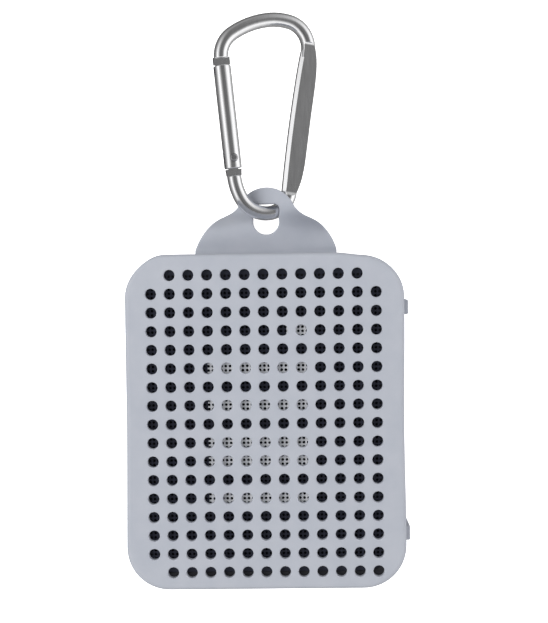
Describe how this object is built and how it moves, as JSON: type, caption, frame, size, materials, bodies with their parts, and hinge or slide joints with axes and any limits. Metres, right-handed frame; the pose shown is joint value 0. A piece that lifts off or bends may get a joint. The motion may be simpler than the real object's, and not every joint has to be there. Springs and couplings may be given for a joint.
{
  "type": "portable wireless speaker",
  "caption": "Pocket loudspeaker in a pale grey perforated soft sleeve, with a moulded hanging tab, an aluminium snap hook, side keys, a port door and a full driver inside.",
  "frame": {"origin": "middle of the sleeve's back face, on which the speaker lies", "axes": "+Z out of the front, +Y towards the hanging tab and hook, +X towards the side with the two feet; keys on the -X side, ports on the -Y side"},
  "size_m": [0.0767, 0.1587, 0.035],
  "materials": {
    "silicone": "satin, pale blue-grey moulded silicone",
    "aluminium_polished": "polished, lightly scuffed",
    "steel_zinc": "bright zinc plated",
    "grille_black": "powder coated, near black, pale printed bars",
    "housing_black": "fine spark texture",
    "housing_inner": "plain moulded",
    "cloth_black": "woven acoustic cloth",
    "rubber_black": "matt",
    "foam_black": "closed cell foam",
    "paper_cone": "pressed pulp",
    "cloth_tan": "resin dipped cloth",
    "ferrite": "sintered",
    "steel_plated": "passivated",
    "copper_coil": "enamelled wire",
    "board_green": "solder mask over glass laminate",
    "chip_black": "moulded package",
    "can_tin": "tin plate",
    "port_steel": "nickel plated",
    "jack_black": "moulded",
    "key_black": "soft touch",
    "clear_pipe": "clear",
    "led_white": "encapsulated",
    "battery_wrap": "heat shrink film",
    "lead_red_black": "PVC insulation",
    "ribbon_film": "polyimide film"
  },
  "bodies": {
    "speaker": {"sleeve": "silicone", "rear_housing": "housing_black", "front_baffle": "housing_inner", "housing_seal": "foam_black", "housing_screws": "steel_zinc", "grille_cloth": "cloth_black", "front_grille": "grille_black", "driver_basket": "steel_plated", "driver_top_plate": "steel_plated", "driver_magnet": "ferrite", "driver_yoke": "steel_plated", "driver_surround": "rubber_black", "driver_spider": "cloth_tan", "driver_gasket": "foam_black", "driver_terminals": "board_green", "driver_screws": "steel_zinc", "radiator_frame": "housing_inner", "radiator_gasket": "foam_black", "radiator_surround": "rubber_black", "radiator_screws": "steel_zinc", "main_board": "board_green", "board_screws": "steel_zinc", "shield_can": "can_tin", "amplifier_chip": "chip_black", "charge_chip": "chip_black", "power_inductor": "ferrite", "battery_socket": "jack_black", "usb_port": "port_steel", "aux_jack": "jack_black", "key_board": "board_green", "key_switches": "can_tin", "microphone": "can_tin", "status_led": "led_white", "status_light_pipe": "clear_pipe", "key_ribbon": "ribbon_film", "battery_cell": "battery_wrap", "battery_pad": "foam_black", "battery_lead": "lead_red_black", "speaker_lead": "lead_red_black", "port_door_pin": "steel_zinc"},
    "tab": {"hanging_tab": "silicone"},
    "hook": {"carabiner_spine": "aluminium_polished", "gate_rivet": "steel_zinc"},
    "gate": {"carabiner_gate": "aluminium_polished", "gate_plunger": "steel_zinc", "gate_spring": "steel_zinc"},
    "port_door": {"port_door": "rubber_black"},
    "driver_motion": {"driver_voice_coil": "copper_coil", "driver_cone": "paper_cone", "driver_dust_cap": "paper_cone"},
    "radiator_motion": {"radiator_plate": "housing_inner", "radiator_weight": "steel_plated"},
    "power_key": {"power_key": "key_black"},
    "link_key": {"link_key": "key_black"},
    "volume_down_key": {"volume_down_key": "key_black"},
    "volume_up_key": {"volume_up_key": "key_black"},
    "play_key": {"play_key": "key_black"}
  },
  "joints": [
    {"name": "tab_fold", "type": "hinge", "parent": "speaker", "child": "tab", "pos_m": [0, 0.046, 0.0064], "axis": [1, 0, 0], "range_deg": [0, 60], "stiffness_Nm_per_rad": 0.008},
    {"name": "hook_swivel", "type": "hinge", "parent": "tab", "child": "hook", "pos_m": [0.0003, 0.0563, 0.0064], "axis": [0, 0, 1], "range_deg": [-6, 6]},
    {"name": "gate_hinge", "type": "hinge", "parent": "hook", "child": "gate", "pos_m": [-0.00894, 0.07229, 0.00896], "axis": [-0.2756, 0, -0.9613], "range_deg": [0, 24], "stiffness_Nm_per_rad": 0.03, "springref_deg": -14.32},
    {"name": "port_door_hinge", "type": "hinge", "parent": "speaker", "child": "port_door", "pos_m": [0, -0.0422, 0.0052], "axis": [1, 0, 0], "range_deg": [0, 90]},
    {"name": "driver_travel", "type": "slide", "parent": "speaker", "child": "driver_motion", "axis": [0, 0, 1], "range_m": [-0.001, 0.001], "stiffness_N_per_m": 1500, "deforming": ["driver_surround", "driver_spider"]},
    {"name": "radiator_travel", "type": "slide", "parent": "speaker", "child": "radiator_motion", "axis": [0, 0, 1], "range_m": [-0.0012, 0.0012], "stiffness_N_per_m": 800, "deforming": ["radiator_surround"]},
    {"name": "power_key_press", "type": "slide", "parent": "speaker", "child": "power_key", "axis": [1, 0, 0], "range_m": [0, 0.0004], "stiffness_N_per_m": 900, "springref_m": -0.0005},
    {"name": "link_key_press", "type": "slide", "parent": "speaker", "child": "link_key", "axis": [1, 0, 0], "range_m": [0, 0.0004], "stiffness_N_per_m": 900, "springref_m": -0.0005},
    {"name": "volume_down_key_press", "type": "slide", "parent": "speaker", "child": "volume_down_key", "axis": [1, 0, 0], "range_m": [0, 0.0004], "stiffness_N_per_m": 900, "springref_m": -0.0005},
    {"name": "volume_up_key_press", "type": "slide", "parent": "speaker", "child": "volume_up_key", "axis": [1, 0, 0], "range_m": [0, 0.0004], "stiffness_N_per_m": 900, "springref_m": -0.0005},
    {"name": "play_key_press", "type": "slide", "parent": "speaker", "child": "play_key", "axis": [1, 0, 0], "range_m": [0, 0.0004], "stiffness_N_per_m": 900, "springref_m": -0.0005}
  ]
}
